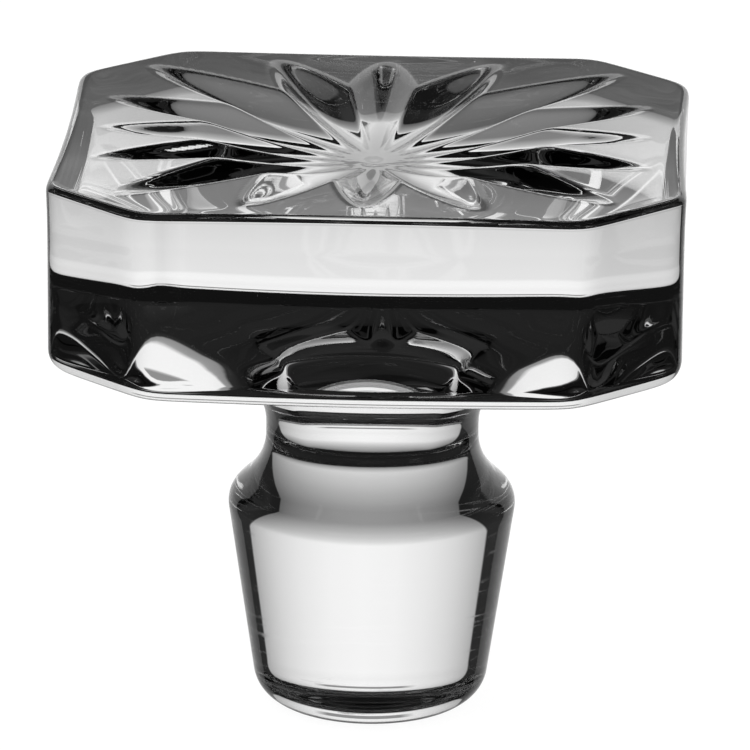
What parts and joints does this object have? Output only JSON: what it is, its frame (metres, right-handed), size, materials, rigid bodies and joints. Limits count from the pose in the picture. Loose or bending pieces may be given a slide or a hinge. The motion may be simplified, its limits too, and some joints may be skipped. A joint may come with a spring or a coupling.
{
  "type": "glass stopper",
  "caption": "Clear cut-glass decanter stopper: square head with cut corners and a star cut in its top, waisted neck and tapered plug.",
  "frame": {"origin": "middle of the flat foot at the bottom of the plug", "axes": "+Z along the plug's axis, up through the head; +X and +Y square to the head's flat sides"},
  "size_m": [0.05, 0.05, 0.0474],
  "materials": {
    "glass": "clear, cut and polished; the plug's seat very lightly ground"
  },
  "bodies": {
    "root": {"stopper": "glass"}
  },
  "joints": []
}
